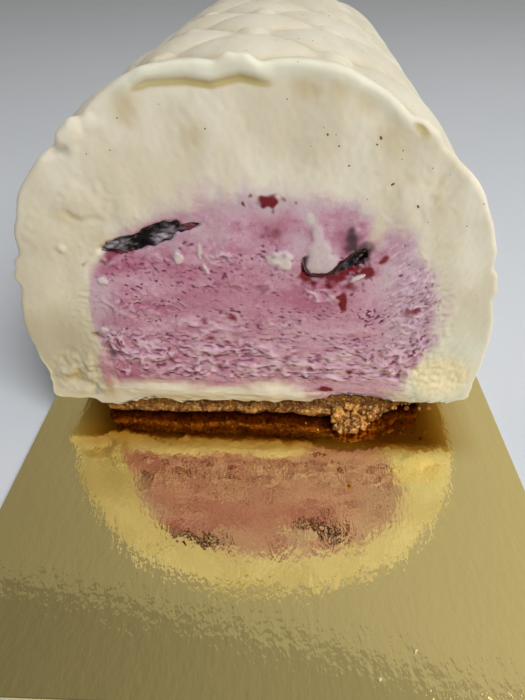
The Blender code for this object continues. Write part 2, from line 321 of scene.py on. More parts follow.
slab_front = FACE_Y + BISCUIT_SETBACK[0]
slab_length = LOG_END - BISCUIT_SETBACK[1] - slab_front
slab_outline = even_steps(rounded_rectangle(BISCUIT_WIDTH, slab_length, BISCUIT_CORNER), BISCUIT_POINTS)


def slab_point(vert, i, row):
    """The slab's side: ragged in and out, crumbly, and drawn in where it meets the card."""
    level = row / (BISCUIT_LAYERS - 1)
    foot = smooth(0.36, 0.26, level)
    top = smooth(0.35, 0.6, level) * smooth(1, 0.8, level)
    # Painted shade: darker at the foot, where the slab meets the card, and in the upper part, under the ice
    # cream's overhang
    vert[slab_shade_layer] = max(0.85 * smooth(0.2, 0.05, level), 0.6 * foot, 0.55 * top)
    point = slab_outline[i]
    up = level * BISCUIT_THICKNESS[1]
    rough = 0.5 + wave_sum(BISCUIT_LUMPS, point.x, point.y, up)
    rough -= 1.3 * smooth(0.25, 0.0, level) + 0.9 * smooth(0.4, 1.0, level)
    rough -= BISCUIT_LOST * smooth(22, 33, point.x) * smooth(-40, -62, point.y)
    point = point + point.normalized() * rough
    x = BISCUIT_X + point.x
    z = GAP * (1 - level) + level * (foot_height(x) - 2 * GAP)
    z += 0.5 * wave(point.x, point.y, 0, 1.2, 5) * math.sin(math.pi * level)
    return on_card(x, slab_front + slab_length / 2 + point.y, z)


bm = bmesh.new()
slab_shade_layer = bm.verts.layers.float.new("soaked")
add_tube(bm, BISCUIT_POINTS, BISCUIT_LAYERS, slab_point)
finish_piece("biscuit_slab", bm, crumb, "biscuit", "biscuit_base")


def scatter_crumbs(bm, draw, count, radii, place, detail=1):
    """Adds irregular crumbs: place(draw, radius) gives each one's middle in metres."""
    for _ in range(count):
        radius = draw.uniform(*radii)
        added = bmesh.ops.create_icosphere(bm, subdivisions=detail, radius=radius * MM)["verts"]
        seed = draw.uniform(0, 50)
        for vert in added:
            vert.co *= 1 + wave_sum(CRUMB_LUMPS, *(vert.co / MM / radius), seed)
        stretch = Vector([draw.uniform(0.65, 1.3) for _ in range(3)])
        bmesh.ops.scale(bm, vec=stretch, verts=added)
        turn = Matrix.Rotation(draw.uniform(0, math.tau), 3, Vector((draw.random(), 1, 0.5)))
        bmesh.ops.rotate(bm, matrix=turn, verts=added)
        bmesh.ops.translate(bm, vec=place(draw, radius), verts=added)


def chunk_place(draw, radius):
    """A place in the heap, which spreads from under the ice cream out on to the card."""
    out = draw.random() ** 0.8
    x = CHUNK_X + CHUNK_WIDTH * draw.uniform(-0.5, 0.5) * (1 - 0.45 * out) - CHUNK_DRIFT * out
    y = slab_front + 1.5 - CHUNK_REACH * out
    room = (foot_height(x) - 2 * GAP - 2.2 * radius) * (1 - out) + 0.4
    return on_card(x, y, radius * 0.85 + max(0, room) * draw.random())


def ledge_place(draw, radius):
    """A place along the slab's ragged front and beside it on the card."""
    x = BISCUIT_X + BISCUIT_WIDTH * draw.uniform(-0.47, 0.49)
    y = slab_front + draw.uniform(0.0, 1.0)
    return on_card(x, y, LEDGE_HEIGHT + (foot_height(x) - 2 * GAP - 3.0) * draw.random())


draw = random.Random(5)
bm = bmesh.new()
scatter_crumbs(bm, draw, 40, (0.6, 1.25), chunk_place, 3)
scatter_crumbs(bm, draw, 90, (0.2, 0.6), chunk_place)
scatter_crumbs(bm, draw, 80, (0.25, 0.7), ledge_place)
finish_piece("biscuit_crumbs", bm, crumb, "biscuit")


# ---- Vanilla ice cream -------------------------------------------------------------------------
# Vanilla ice cream frozen in a loaf mould whose wall is quilted with diamond pillows. The knife
# melted the cut face smooth and pushed up a lip of soft ice cream along its top edge.

AROUND_ARCH = 440  # columns over the arch, and along the underside
AROUND_FOOT = 80
AROUND = AROUND_ARCH + AROUND_FOOT
LOG_WIDTH = 92.8
LOG_FOOT_WIDTH = 88.6
LOG_SPRING = 25.0  # height of the widest place
LOG_TOP = 73.5
LOG_POWER = 2.1  # of the arch, 2 for an ellipse and more for squarer shoulders
LOG_LEAN = -0.03  # sideways for each millimetre up
LOG_FAR_RIM = 3.5  # radius of the far end's edge
PILLOW_LENGTH = 30.0
PILLOW_DEPTH = 2.0
PILLOW_COLUMNS = 12  # half pillows over the arch
PILLOW_SOFTNESS = 0.008  # of the valleys between pillows
QUILT_SLIP = 0.2  # columns by which the quilt sits lower on the right
STUD_HEIGHT = 1.5
STUD_RADIUS = 2.6
STUD_SCALE = 6.75  # millimetres from a stud's middle for each unit of the quilt's waves
SKIN_LUMPS = ((1.7, 0.07, 2), (11, 0.25, 4))  # size, height and seed
DRIP = (-31, 3.2, 1.3)  # x, half width and length of the drip under the cut on the left
HANGING_LUMPS = ((2.6, 1.3, 6), (0.9, 0.6, 7))
SKIN_DIM, SKIN_MELT = 0.38, 0.25  # how dull and how pale the moulded skin is
RIM = 1.0  # radius of the melted edge round the cut
FOOT_RIM = 0.3  # of the cut's edge along the underside, which stayed sharp
LIP_LINE = (  # x and z of the lip's lower side
    (-30.0, 66.0), (-19.0, 68.2), (-16.0, 69.3), (-10.2, 69.6), (-6.5, 69.1), (-2.0, 70.1),
    (2.5, 69.2), (30.0, 66.0),
)
LIP_LEFT, LIP_RIGHT = (-20.5, -16.5), (5, 0)  # x where it starts, and is full
LIP_HEIGHT = 0.7
LIP_FLOOR = 55  # neither lip nor edge reaches below this height
GROOVE_DEPTH, GROOVE_WIDTH = 0.1, 0.6
EDGE_LEFT, EDGE_RIGHT = (-23.0, -19.0), (27.0, 23.0)  # the same for the thin edge beside the lip
EDGE_HEIGHT, EDGE_WIDTH = 0.25, 1.6
CORE_X = 1.5
CORE_WIDTH = 67.4
CORE_FOOT_WIDTH = 61.0
CORE_FOOT = 8.9
CORE_SPRING = 23.0
CORE_TOP = 52.7
CORE_POWER = 2.45
CORE_FAR_WALL = 10.0  # of vanilla, between the core and the far end
POCKET_ROWS = 1  # of the vanilla's tube, from the pocket's end over the cut to the far end
FACE_ROWS = 44
RIM_ROWS = 5
LENGTH_ROWS = 112
LENGTH_CROWDING = 1.25  # of those rows towards the cut, 1 for none
END_ROWS = 10

# Ovals on the cut face: x, z, half width, half height, turn in degrees, and strength, which is a
# height in millimetres for the shapes in the cream
CREAM_DROPS = (
    (-13.9, 39.7, 0.8, 1.2, 0, 0.4), (-28.4, 34.7, 1, 0.7, -10, 0.35), (4.7, 39.9, 2.1, 1.3, 8, 0.4),
    (-9.9, 41.2, 0.35, 1.8, 0, 0.2), (-9.1, 37.8, 0.35, 1.1, 25, 0.2), (18.9, 36.3, 1.6, 0.45, 28, 0.4),
    (-34.9, 41.2, 0.9, 0.8, 0, 0.4), (-30, 23.6, 0.9, 0.6, 0, 0.3), (5.4, 38.9, 1.2, 1.1, 0, 0.3),
)
CREAM_TONGUE = (
    (12.1, 39.4, 2.7, 2.1, 0, 0.5), (11.8, 41.4, 2, 2.4, 8, 0.42), (11.2, 44.2, 1, 2.4, 12, 0.3),
)
MILK_SMEARS = (
    (3.3, 50, 3, 1.2, -8, 0.5), (7.4, 49.4, 2.6, 1.3, -20, 0.7), (9.8, 47.4, 1.3, 2.4, 25, 0.8),
    (7.6, 43.4, 2.2, 2.8, 10, 0.6), (-4.6, 50.6, 3.6, 2.4, -15, 1), (-11.3, 49.6, 4.5, 1.8, 5, 0.8),
    (9.2, 41, 1.4, 2, 0, 0.5), (14.7, 41.4, 0.9, 1.8, 0, 0.5), (22.3, 42.3, 0.8, 2.8, -25, 0.7),
    (-9.5, 46, 4, 2.4, -15, 0.55), (-6, 43.8, 1.5, 3, -12, 0.5), (20, 49.6, 2.4, 1.8, -15, 0.9),
    (24, 36.8, 1.3, 4.5, -14, 0.6), (16, 50.5, 2.6, 1.2, -10, 0.6), (-20.5, 47.6, 4.2, 1.2, 10, 0.9),
    (-14.5, 42.6, 1, 2, 0, 0.5), (-30.3, 30, 2, 6.5, 0, 0.5), (28.5, 40.5, 2, 1.6, -30, 0.45),
    (12.5, 50, 3.4, 0.9, -12, 0.5), (-17, 48.5, 3, 1.4, 15, 0.6),
)
CREAM_SMEARS = (
    (21.8, 46.9, 1.4, 4, -14, 0.9), (-21.9, 49.2, 3.4, 3, 10, 1), (-27, 46, 3.4, 3.4, 35, 1),
    (-20, 9.4, 9.5, 1.4, 0, 1), (3.2, 9.6, 5.6, 1.7, 0, 1), (-6, 9, 7, 0.9, 0, 1),
    (33.6, 11, 2.8, 4.5, -12, 1), (-27.8, 49.5, 4, 3, 20, 1),
)
BERRY_SMEARS = (
    (20.5, 7.9, 8.5, 1.5, 0, 1), (-31.2, 14, 1.6, 4.5, 0, 0.9), (36, 30, 1.2, 5, 0, 0.3),
)
CREAM_DRIPS = (
    (-29.6, 61.4, 2.7, 1.8, 30, 0.8), (-22.4, 48.8, 1.8, 3.2, 5, 0.35), (28.4, 61.4, 1.5, 1.2, 0, 0.2),
    (-26.5, 63, 1.6, 1.2, 20, 0.4), (-22.8, 53.5, 1.8, 3, 0, 0.25),
)
CREAM_BULGES = (
    (-29.6, 49.8, 3.4, 2.5, 0, 0.6), (20.5, 54, 2, 7, -18, 0.25), (12, 64, 3, 8, -10, 0.3),
    (-6, 60, 4, 7, 12, 0.3), (27, 51, 3, 3.4, -30, 0.35), (31.5, 47.5, 1.8, 3.5, -25, 0.2),
    (-37, 44, 3.5, 3, 0, 0.4), (-18, 8.2, 9, 1.4, 0, 0.6), (4, 8.2, 6.5, 1.6, 0, 0.7),
    (35, 9, 6, 3, 0, 0.7),
)
CREAM_DENTS = (
    (-31.8, 58.7, 1.9, 0.7, 25, 0.6), (-32.2, 47.6, 1.9, 0.7, -28, 0.35), (-28.9, 46.9, 1.8, 0.7, 8, 0.2),
    (25.9, 62.9, 1.5, 0.5, -40, 0.25), (30.2, 54, 0.5, 2.6, -30, 0.2), (32.6, 52, 0.5, 2.3, -35, 0.15),
    (29.6, 51.4, 0.6, 1.4, 30, 0.15), (-38.6, 11, 1.5, 0.7, 20, 0.5), (-35.3, 12.6, 1.2, 0.6, -15, 0.4),
    (-34.4, 7.6, 0.9, 1.5, 0, 0.4), (-31.4, 21.9, 1.6, 0.5, -25, 0.3), (-29.6, 17.8, 0.9, 1.6, 15, 0.7),
)
RICH_PATCHES = (
    (-24.5, 38, 6, 1.6, 5, 0.9), (-14, 36.5, 7, 2, -5, 0.5), (-9.5, 31, 8, 2.2, 0, 0.5),
    (3, 46.5, 2.8, 3.4, 0, 0.7), (9, 45.5, 4.5, 2, -30, 0.3), (11.5, 30.5, 8, 3.4, 0, 0.6),
    (-19, 29, 7, 2, 0, 0.6), (-27, 12.5, 6, 2.4, 0, 0.7), (24, 45, 4, 2.4, -20, 0.5),
    (-2, 16.5, 4, 2.6, 0, 0.4), (-27.5, 26, 5, 1.6, 0, 0.5), (15.6, 43.5, 1.6, 3.5, 10, 0.8),
    (13, 34, 5, 1.6, 0, 0.8),
)
JUICE_SPOTS = (
    (2.4, 50.7, 1.8, 0.9, -8, 1), (16.7, 31.2, 0.7, 1.9, 10, 0.9), (14.6, 9.9, 1.2, 0.6, 0, 1),
    (15.2, 36.8, 3.3, 1.4, 22, 0.8), (16.2, 37.5, 2, 0.8, 25, 1), (-4.3, 27.3, 0.8, 0.8, 0, 0.7),
    (1.7, 34, 1, 0.9, 0, 0.4), (30.2, 29.4, 1.2, 0.6, 15, 0.6), (19.2, 14.6, 0.6, 0.6, 0, 0.7),
    (-8.8, 22.2, 1.2, 0.6, 0, 0.6), (-17.1, 17, 0.9, 1, 0, 0.5), (3.6, 44.6, 1.2, 1.3, 0, 0.4),
    (22.9, 39.6, 1.2, 0.6, 25, 0.7), (-5.6, 21, 0.9, 0.6, 0, 0.5), (-30, 20, 1, 1.5, 30, 0.4),
    (-25.3, 40.4, 3.5, 0.7, 12, 0.5), (20.2, 37.6, 1.3, 1.2, 0, 0.8), (9.3, 37, 1.2, 1.4, 0, 0.8),
    (17.4, 34.4, 1.2, 1, 0, 0.6),
)
# Painted shade, yellowish, under the lip and the top edge, and in the dents and creases of the face
YELLOW_SHADE_PATCHES = (
    (8.3, 68.4, 2.6, 1.8, 0, 0.4), (13.2, 68.4, 1.6, 2.4, 0, 0.35), (17.4, 66.8, 2.6, 3, 0, 0.35),
    (22, 61, 4, 3.5, -30, 0.3), (-20, 65.5, 2.2, 3.2, 0, 0.4), (-9.5, 61.5, 1.8, 2.6, 0, 0.35),
    (-32.5, 47.2, 3.2, 0.9, -8, 0.35), (31, 51.5, 0.8, 3.6, 8, 0.3), (26, 54.8, 1.2, 1.2, 0, 0.25),
    (-38.4, 10.8, 1.8, 0.9, 0, 0.7), (-27.5, 43, 2, 2, 0, 0.3), (28.8, 54.6, 2, 0.7, -30, 0.25),
    (-31, 21.8, 1.4, 0.7, -20, 1), (26.4, 62.6, 1.4, 0.7, -40, 0.9), (-31.6, 10.5, 0.8, 4, 8, 0.8),
)
# Dark patches: a flap of cherry skin beside the right cherry, small dark spots, and painted shade in dents
# on the lower left, round the left cherry and along the right cherry's cup
DARK_SKIN_AND_SHADE_PATCHES = (
    (17.2, 43.5, 1.2, 2.8, 12, 1), (19.2, 42, 1.7, 1.2, 0, 0.85), (-29.4, 17.6, 0.9, 1.5, 15, 0.6),
    (-31.6, 22, 1.5, 0.4, -25, 0.6), (3.3, 40.4, 0.45, 0.4, 0, 0.4), (5.4, 40.8, 0.5, 0.45, 0, 0.4),
    (-17.5, 43.5, 8, 3, 16, 0.3), (12.5, 36.6, 4, 0.9, 5, 0.5),
)
# Painted light: paler lilac on the berry's lower middle and right, where the face is lit more
PAINTED_LIGHT_PATCHES = (
    (4, 19, 15, 6.5, 0, 0.8), (22, 20, 10, 9, 0, 0.7), (22, 33, 7, 6, 0, 0.6),
    (10, 13.5, 12, 3.5, 0, 0.7), (26, 42, 6, 3, -20, 0.4), (-3, 31, 6, 3, 0, 0.5),
    (-10, 21, 6, 3, 0, 0.6), (23, 13.5, 10, 5.5, 0, 1), (10, 44.5, 6, 3, 0, 0.4),
)
# Painted light: paler where the face is lit more, at its lower right corner, along its right side and at
# its upper right edge
PALE_PLACES = (
    (38.5, 14, 9, 11, 0, 1), (24, 66, 6, 3.5, -40, 0.4), (38, 40, 4, 10, 0, 0.3),
)
# Painted shade: darker on the lower left of the face
DIM_PLACES = (
    (-42, 18, 9, 9, 0, 1), (-34, 12, 8, 5.5, 0, 0.8), (-44, 30, 5, 8, 0, 0.4),
)
CRUMBLY_PATCHES = (
    (-21.5, 38.8, 6.5, 1, 5, 0.8), (-6.5, 40, 3, 1.5, -10, 0.75), (-6, 34, 7, 1, 0, 0.5),
    (-23, 29.5, 9, 2.6, 0, 0.6), (-10, 24, 6, 3.5, 0, 0.8), (5, 26, 5, 1.6, 0, 0.6),
    (12.5, 32.5, 3.8, 1.5, -10, 0.9), (30, 31, 5, 9, -10, 0.65), (3.5, 38.5, 3, 1.5, -30, 0.5),
)
CHERRY_HOLLOWS = (
    (-22.6, 42.2, 5.2, 1.5, 14, 1), (-17.6, 44.2, 4.6, 1.7, 22, 1), (-12.2, 45.6, 2.9, 0.6, 15, 0.9),
    (15.6, 38.5, 2.6, 0.9, 27, 1), (18.8, 40.2, 1.7, 1.5, 20, 1), (9.2, 38.7, 0.6, 1.7, -8, 0.9),
    (12.4, 36.9, 2.9, 0.35, 5, 0.9),
)
ICE_CORNER = (38.0, 14.0, 8.0, 5.5)  # x, z and half sizes of the icy corner, whose shine is a painted highlight
ICE_LUMPS = (((1.6, 0.9, 1), 0.2, 47), (0.7, 0.2, 49))
CRUMBLY_CORNER = (-37.0, 11.0, 7.5, 8.0)
CRUMBLY_LUMPS = ((2.6, 0.9, 51), (1.1, 0.4, 53), (0.6, 0.3, 54))
FACE_LAYERS = (  # what the face shows: each is an attribute from 0 to 1, for the material to colour
    "berry", "milk", "lilac", "pit", "crest", "rich", "juice", "butter", "ice", "inner", "bruise",
    "dim", "melt",
)


def closed_arch(width, foot_width, spring, top, power, foot, middle=0.0):
    """Points round an arch from its right foot over the top, and back along its flat underside."""
    fine = 480
    line = [Vector((middle + foot_width / 2, foot(foot_width / 2)))]
    for i in range(fine + 1):
        angle = math.pi * i / fine
        across = math.copysign(abs(math.cos(angle)) ** (2 / power), math.cos(angle))
        up = math.sin(angle) ** (2 / power)
        line.append(Vector((middle + width / 2 * across, spring + (top - spring) * up)))
    line.append(Vector((middle - foot_width / 2, foot(-foot_width / 2))))
    over = even_steps(line, AROUND_ARCH)
    under = [over[-1].lerp(over[0], i / AROUND_FOOT) for i in range(1, AROUND_FOOT)]
    return over + under


def soften(outline, passes):
    """Rounds the corners of a closed outline."""
    for _ in range(passes):
        after = outline[1:] + outline[:1]
        before = outline[-1:] + outline[:-1]
        outline = [b / 2 + (a + c) / 4 for a, b, c in zip(before, outline, after)]
    return outline


log_outline = closed_arch(LOG_WIDTH, LOG_FOOT_WIDTH, LOG_SPRING, LOG_TOP, LOG_POWER, foot_height)
log_outline = soften(log_outline, 6)
core_outline = closed_arch(
    CORE_WIDTH, CORE_FOOT_WIDTH, CORE_SPRING, CORE_TOP, CORE_POWER, lambda x: CORE_FOOT, CORE_X,
)
log_axis = Vector((0.0, LOG_SPRING))
log_inward = [
    Vector((a.y - b.y, b.x - a.x)).normalized()
    for a, b in zip(log_outline[-1:] + log_outline[:-1], log_outline[1:] + log_outline[:1])
]


def up_arch(i):
    """How far up the arch a column is from the nearer foot, and below 0 on the underside."""
    return min(i, AROUND_ARCH - i) / AROUND_ARCH


def quilt(i, y):
    """How far the mould's pillows push the skin inwards, in millimetres, at a column and a Y."""
    if i > AROUND_ARCH:
        return 0.0
    across = (i / AROUND_ARCH - 0.5) * PILLOW_COLUMNS
    across += QUILT_SLIP * smooth(0.45, 0.2, i / AROUND_ARCH)
    along = (y - FACE_Y) / PILLOW_LENGTH * 2
    u = math.sin(math.pi * (across + along) / 2)
    v = math.sin(math.pi * (across - along) / 2)
    valley, crown = math.sqrt(PILLOW_SOFTNESS), math.sqrt(1 + PILLOW_SOFTNESS)
    dome = (math.sqrt(abs(u * v) + PILLOW_SOFTNESS) - valley) / (crown - valley)
    stud = STUD_HEIGHT * math.exp(-((STUD_SCALE * math.hypot(u, v) / STUD_RADIUS) ** 4))
    return (PILLOW_DEPTH * (1 - dome) - stud) * min(1.0, 2 * PILLOW_COLUMNS * up_arch(i))


def skin_point(i, y, inward=0.0):
    """A point (x, z) of the moulded skin at a column and a Y, moved inwards."""
    point = log_outline[i]
    towards = (log_axis - point).normalized()
    frost = wave_sum(SKIN_LUMPS, point.x, y, point.y)
    torn = 0.4 * wave(point.x, 0, point.y, 4, 9)
    torn += 0.5 * smooth(20, 10, point.y) * wave(point.x, 0, point.y, 1.6, 13)
    frost += torn * smooth(4, 0, y - FACE_Y) * smooth(0.0, 0.04, up_arch(i))
    if i > AROUND_ARCH:
        hanging = 0.5 + wave_sum(HANGING_LUMPS, point.x, 0, 0)
        hanging += DRIP[2] * math.exp(-(((point.x - DRIP[0]) / DRIP[1]) ** 2))
        hanging -= 0.6 * smooth(-34, -38, point.x)
        hanging -= 1.7 * smooth(12, 16, point.x) * smooth(29, 25, point.x)
        hanging = max(hanging, -2.0 * smooth(34, 26, abs(point.x)))
        frost -= smooth(2.6, 0.5, y - FACE_Y) * hanging * smooth(43.5, 38, abs(point.x))
    point = point + towards * quilt(i, y) + log_inward[i] * (inward + frost)
    return Vector((point.x + LOG_LEAN * (point.y - LOG_SPRING), point.y))


def far_rim_point(i, y, inward):
    """A point (x, z) of the moulded skin, moved towards the log's axis for its rounded far end."""
    point = skin_point(i, y)
    return point + inward * (log_axis - point).normalized()


def lip_shape(x, z, from_edge):
    """The lip pushed up by the knife, from 0 to 1, its groove below, and the thin edge beside it."""
    if z < LIP_FLOOR:
        return 0.0, 0.0, 0.0
    k = next(k for k in range(1, len(LIP_LINE)) if x < LIP_LINE[k][0] or k == len(LIP_LINE) - 1)
    (x0, z0), (x1, z1) = LIP_LINE[k - 1:k + 1]
    above = z - (z0 + (z1 - z0) * (x - x0) / (x1 - x0))
    window = smooth(*LIP_LEFT, x) * smooth(*LIP_RIGHT, x)
    lip = window * smooth(-0.3, 1.1, above) * (1 + 0.3 * wave(x, 0, 0, 5, 1))
    groove = window * smooth(5, 2, x) * math.exp(-(((above + 0.25) / GROOVE_WIDTH) ** 2))
    edge = smooth(*EDGE_LEFT, x) * smooth(*EDGE_RIGHT, x)
    return lip, groove, edge * math.exp(-((from_edge / EDGE_WIDTH) ** 2))


def mark(marks, x, z, soft=0.45, ragged=0.3):
    """The strongest of a list of ovals at a point, each 1 inside and fading at its edge."""
    strongest = 0.0
    for mx, mz, half_x, half_z, turn, strength in marks:
        dx, dz = x - mx, z - mz
        if abs(dx) + abs(dz) > 2.2 * (half_x + half_z):
            continue
        angle = math.radians(turn)
        across = (dx * math.cos(angle) + dz * math.sin(angle)) / half_x
        up = (dz * math.cos(angle) - dx * math.sin(angle)) / half_z
        distance = math.hypot(across, up) * (1 + ragged * wave(x, z, 0, 1.3, strength * 9))
        strongest = max(strongest, strength * smooth(1 + soft, 1 - soft, distance))
    return strongest


def near(place, x, z):
    """1 at a round place on the face, falling to 0 at its edge."""
    return smooth(1.25, 0.35, math.hypot((x - place[0]) / place[2], (z - place[1]) / place[3]))


def core_share(x, z, outside):
    """How much the face is berry rather than vanilla, outside millimetres beyond its border."""
    top = smooth(30, 48, z)
    right = smooth(18, 31, x) * (1 - top)
    ragged = (0.35 + 2.2 * top + 1.5 * right) * wave(x, z, 0, (3.2, 4.5, 1), 8)
    ragged += (0.3 + 0.5 * right) * wave(x, z, 0, (1.8, 0.7, 1), 12)
    ragged += 1.6 * smooth(26, 34, x) * smooth(22, 12, z)
    width = 0.45 + 2.4 * top + 1.2 * right
    share = smooth(width, -width, outside + ragged + 0.6 * top)
    share = max(share, mark(BERRY_SMEARS, x, z, 0.5))
    return share * (1 - mark(CREAM_SMEARS, x, z, 0.8))


def net_line(x, z):
    """The raised edges between the lumps of icy crumb, like a net."""
    wide = smooth(0.26, 0.05, abs(wave(x, z, 0, (2.9, 2.0, 1), 57)))
    fine = smooth(0.22, 0.05, abs(wave(x, z, 0, (1.7, 1.25, 1), 58)))
    return max(wide, 0.7 * fine) * smooth(-0.3, 0.1, wave(x, z, 0, 2.4, 62))


def face_look(x, z, outside):
    """The cut face's height in millimetres, and how strongly each of its layers shows there.

    Numbers beside x and z are places on the face, and those beside outside are from the border.
    """
    vanilla = smooth(-1.0, 1.5, outside)
    low = smooth(27, 17, z + 5 * wave(x, z, 0, 9, 6)) * smooth(10.5, 13, z)
    loose = max(low, mark(CRUMBLY_PATCHES, x, z, 0.7)) * smooth(0.5, -1.0, outside)
    drop = mark(CREAM_DROPS, x, z, 0.3, 0.4)
    tongue = mark(CREAM_TONGUE, x, z, 0.45, 0.2)
    bare = 1 - smooth(0, 0.2, drop + tongue)

    # Lumps of icy crumb that the knife dragged across the berry, leaning up to the right at its side, each
    # with a raised edge above, painted pale as a highlight, and a gap below, painted dark as its shade
    slant = 0.45 * (x - 20) * smooth(18, 26, x)
    level = z - slant + 0.9 * wave(x, z, 0, (6, 4, 1), 55) + 0.4 * wave(x, z, 0, 1.8, 56)
    net = net_line(x, level) * loose * bare
    under = net_line(x, level + 0.6) * smooth(-0.1, 0.2, wave(x, level, 0, (2.6, 1.3, 1), 60))
    holes = smooth(0.25, 0.42, wave(x, level, 0, (1.5, 0.9, 1), 66))
    gap = max((1.05 - 0.6 * smooth(18, 26, x)) * under, holes)
    gap = min(1, gap * (1 - net) * loose * bare)

    # Gas pits that the knife opened in it, sparse at the top and in clusters lower down, painted dark as
    # the shade inside them
    pit = 0
    if outside < 0.3:
        few = 0.48 + 0.5 * smooth(42, 47, z) - 0.4 * wave(x, z, 0, (5, 3, 1), 23)
        few += 0.3 * smooth(13, 9, z) + 0.4 * mark(MILK_SMEARS, x, z, 0.8) - 0.05 * low
        long_pits = wave(x, level, 0, (1.0, 0.65, 1), 25)
        small_pits = wave(x, level, 0, (0.7, 0.5, 1), 31)
        pit = smooth(few, few + 0.16, max(long_pits, small_pits)) * bare
    pit = max(pit, 0.95 * gap)

    # Broad smears of the knife, drops and drips of cream, and the rough corners
    smear = 0.35 * wave(x, z, 0, (10, 15, 1), 41) + 0.14 * wave(x + 0.2 * z, z, 0, (4.5, 9, 1), 43)
    height = smear * (0.4 + 0.6 * vanilla) + 0.05 * wave(x, z, 0, 0.9, 45)
    height += mark(CREAM_BULGES, x, z, 0.9) + mark(CREAM_DRIPS, x, z, 0.8) - mark(CREAM_DENTS, x, z, 0.7)
    beside = vanilla * smooth(6, 1, outside) * smooth(40, 30, z)
    height += 0.22 * beside * wave(x, z, 0, (1.2, 0.8, 1), 46)
    along, across = 0.8 * x + 0.6 * z, 0.8 * z - 0.6 * x
    combed = smooth(24, 28, x) * smooth(14, 20, z) * smooth(50, 44, z) * smooth(11, 2, outside)
    height += 0.3 * combed * max(0, wave(along, across, 0, (2.4, 0.5, 1), 67))
    # The icy corner: lumpy, with a painted highlight, paler and warmer
    ice = near(ICE_CORNER, x, z)
    height += ice * wave_sum(ICE_LUMPS, x, z, 0)
    height += near(CRUMBLY_CORNER, x, z) * smooth(5.0, 11.0, z) * wave_sum(CRUMBLY_LUMPS, x, z, 0)
    height += 0.5 * loose * wave(x, level, 0, (3.4, 1.8, 1), 57)
    height += 0.25 * loose * wave(x, z, 0, (1.0, 0.7, 1), 59)
    height += 0.4 * net + max(drop, tongue) - 0.24 * pit
    height -= 1.5 * mark(CHERRY_HOLLOWS, x, z, 0.25, 0.2) * bare
    # Painted shade on the lower left, which is also set back a little
    dim = mark(DIM_PLACES, x, z, 1.0, 0)
    height -= 1.1 * dim

    milk = (0.85 + 0.8 * wave(x, z, 0, (4, 5, 1), 15)) * mark(MILK_SMEARS, x, z, 0.9)
    lean = smooth(20, 26, x) * smooth(22, 28, z) * smooth(1, -1, outside)
    net = max(net, 0.8 * lean * smooth(0.05, 0.3, wave(along, across, 0, (3.5, 0.5, 1), 64)))
    haze = 0.8 * smooth(38, 50, z) * smooth(-10, -1, outside) * (0.5 + wave(x, z, 0, (5, 7, 1), 16))
    return height, {
        "berry": core_share(x, z, outside),
        "milk": max(0, milk, haze, 0.95 * smooth(0, 0.2, drop), 0.87 * smooth(0, 0.3, tongue)),
        "lilac": max(smooth(-22, -31, x) * smooth(38, 33, z), smooth(21, 29, x)) * smooth(16, 24, z),
        "pit": pit,
        # painted highlight on the raised edges, and painted light on the patches
        "crest": max(net, 0.5 * mark(PAINTED_LIGHT_PATCHES, x, z, 1.0)),
        "rich": mark(RICH_PATCHES, x, z, 0.9),
        "juice": mark(JUICE_SPOTS, x, z, 0.75, 1.0) * bare,
        "butter": mark(YELLOW_SHADE_PATCHES, x, z, 0.9),
        "ice": ice,
        "inner": smooth(0, 1.8, abs(outside)),
        "bruise": mark(DARK_SKIN_AND_SHADE_PATCHES, x, z, 0.8, 0.6) * (1 - smooth(0, 0.3, tongue)),
        "dim": dim,
        "melt": mark(PALE_PLACES, x, z, 1.0, 0),
    }


def paint(vert, layers, **shown):
    """Writes what shows at a vertex into its layers."""
    for name, value in shown.items():
        vert[layers[name]] = value


def edge_radius(i):
    """Radius of the cut's melted edge at a column, in millimetres."""
    return FOOT_RIM + (RIM - FOOT_RIM) * smooth(0.0, 0.1, up_arch(i))


def vanilla_face_point(vert, layers, i, share):
    """A point of the cut face between the core's border (share 0) and the melted edge (share 1)."""
    inner = core_outline[i]
    outer = skin_point(i, FACE_Y, edge_radius(i))
    point = inner.lerp(outer, share)
    x, z = point
    height, shown = face_look(x, z, (point - inner).length)
    lip, groove, edge = lip_shape(x, z, (outer - point).length)
    height += max(LIP_HEIGHT * lip, EDGE_HEIGHT * edge) - GROOVE_DEPTH * groove
    # Painted shade in the groove below the lip
    shown["butter"] = max(shown["butter"], groove)
    # Painted light on the lip and on the thin edge beside it
    shown["melt"] = max(shown["melt"], 0.5 * lip, 0.6 * edge)
    paint(vert, layers, **shown)
    return on_card(x, FACE_Y - height, z)


